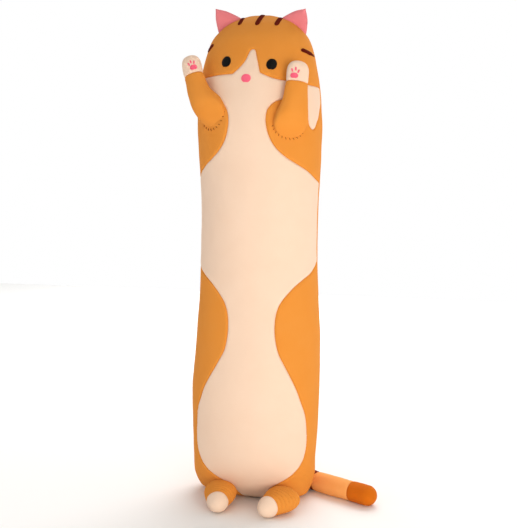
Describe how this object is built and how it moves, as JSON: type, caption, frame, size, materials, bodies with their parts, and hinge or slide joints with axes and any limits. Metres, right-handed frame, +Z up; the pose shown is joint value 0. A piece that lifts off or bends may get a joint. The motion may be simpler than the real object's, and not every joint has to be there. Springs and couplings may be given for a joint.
{
  "type": "plush cat bolster",
  "caption": "Tall stuffed toy cat shaped as a long bolster, with a cream belly, orange patches, raised arms, short legs and a banded tail.",
  "frame": {"origin": "centre of the flattened face that the toy stands on", "axes": "+Z up along the bolster to the head; the face and belly look along -Y; the cat's own left side is +X"},
  "size_m": [0.4005, 0.3215, 1.046],
  "materials": {
    "orange_plush": "short-pile velour",
    "cream_plush": "short-pile velour",
    "ear_pink_plush": "short-pile velour",
    "brown_plush": "short-pile velour",
    "caramel_plush": "short-pile velour",
    "black_embroidery": "satin stitch",
    "pink_embroidery": "satin stitch",
    "brown_embroidery": "satin stitch",
    "sewing_thread": "polyester thread",
    "polyester_filling": "loose fibre"
  },
  "bodies": {
    "lower_body": {"lower_body_filling": "polyester_filling", "waist_filling": "polyester_filling", "belly_panel": "cream_plush", "back_panel": "orange_plush", "right_hip_panel": "orange_plush", "left_hip_panel": "orange_plush", "closing_seam_thread": "sewing_thread"},
    "upper_body": {"upper_body_filling": "polyester_filling", "head_front_panel": "orange_plush", "right_shoulder_panel": "orange_plush", "left_shoulder_panel": "orange_plush", "right_eye": "black_embroidery", "left_eye": "black_embroidery", "nose": "pink_embroidery", "crown_stripes": "brown_embroidery", "cheek_stripes": "brown_embroidery", "right_arm_seam_thread": "sewing_thread", "left_arm_seam_thread": "sewing_thread"},
    "tail": {"tail_filling": "polyester_filling", "tail_root_sleeve": "orange_plush", "tail_band": "brown_plush", "tail_middle_sleeve": "orange_plush", "tail_tip_cover": "caramel_plush"},
    "right_arm": {"right_arm_filling": "polyester_filling", "right_arm_sleeve": "orange_plush", "right_paw_cover": "cream_plush", "right_paw_pads": "pink_embroidery"},
    "right_leg": {"right_leg_filling": "polyester_filling", "right_leg_sleeve": "orange_plush", "right_foot_cover": "cream_plush"},
    "right_ear": {"right_ear_padding": "polyester_filling", "right_ear_front": "ear_pink_plush", "right_ear_back": "orange_plush"},
    "left_arm": {"left_arm_filling": "polyester_filling", "left_arm_sleeve": "orange_plush", "left_paw_cover": "cream_plush", "left_paw_pads": "pink_embroidery"},
    "left_leg": {"left_leg_filling": "polyester_filling", "left_leg_sleeve": "orange_plush", "left_foot_cover": "cream_plush"},
    "left_ear": {"left_ear_padding": "polyester_filling", "left_ear_front": "ear_pink_plush", "left_ear_back": "orange_plush"}
  },
  "joints": [
    {"name": "waist_bend", "type": "hinge", "parent": "lower_body", "child": "upper_body", "pos_m": [0, 0, 0.632], "axis": [1, 0, 0], "range_deg": [-20, 45], "stiffness_Nm_per_rad": 10, "deforming": ["waist_filling", "belly_panel", "back_panel"]},
    {"name": "right_arm_swing", "type": "hinge", "parent": "upper_body", "child": "right_arm", "pos_m": [-0.07116, -0.12303, 0.80871], "axis": [-0.388, -0.9212, 0.0274], "range_deg": [-25, 150], "stiffness_Nm_per_rad": 0.3},
    {"name": "left_arm_swing", "type": "hinge", "parent": "upper_body", "child": "left_arm", "pos_m": [0.08584, -0.11683, 0.79925], "axis": [-0.4744, 0.8802, -0.0096], "range_deg": [-25, 150], "stiffness_Nm_per_rad": 0.3},
    {"name": "right_leg_lift", "type": "hinge", "parent": "lower_body", "child": "right_leg", "pos_m": [-0.056, -0.115, 0.0268], "axis": [-0.9231, -0.3846, 0], "range_deg": [0, 30]},
    {"name": "left_leg_lift", "type": "hinge", "parent": "lower_body", "child": "left_leg", "pos_m": [0.073, -0.111, 0.0268], "axis": [-0.8866, 0.4626, 0], "range_deg": [0, 30]},
    {"name": "tail_swing", "type": "hinge", "parent": "lower_body", "child": "tail", "pos_m": [0.014, 0.117, 0.0205], "axis": [0, 0, 1], "range_deg": [-2, 150]},
    {"name": "right_ear_fold", "type": "hinge", "parent": "upper_body", "child": "right_ear", "pos_m": [-0.074, 0, 1.01612], "axis": [0.788, 0, 0.6157], "range_deg": [-60, 60], "stiffness_Nm_per_rad": 0.01},
    {"name": "left_ear_fold", "type": "hinge", "parent": "upper_body", "child": "left_ear", "pos_m": [0.074, 0, 1.01612], "axis": [0.788, 0, -0.6157], "range_deg": [-60, 60], "stiffness_Nm_per_rad": 0.01}
  ]
}
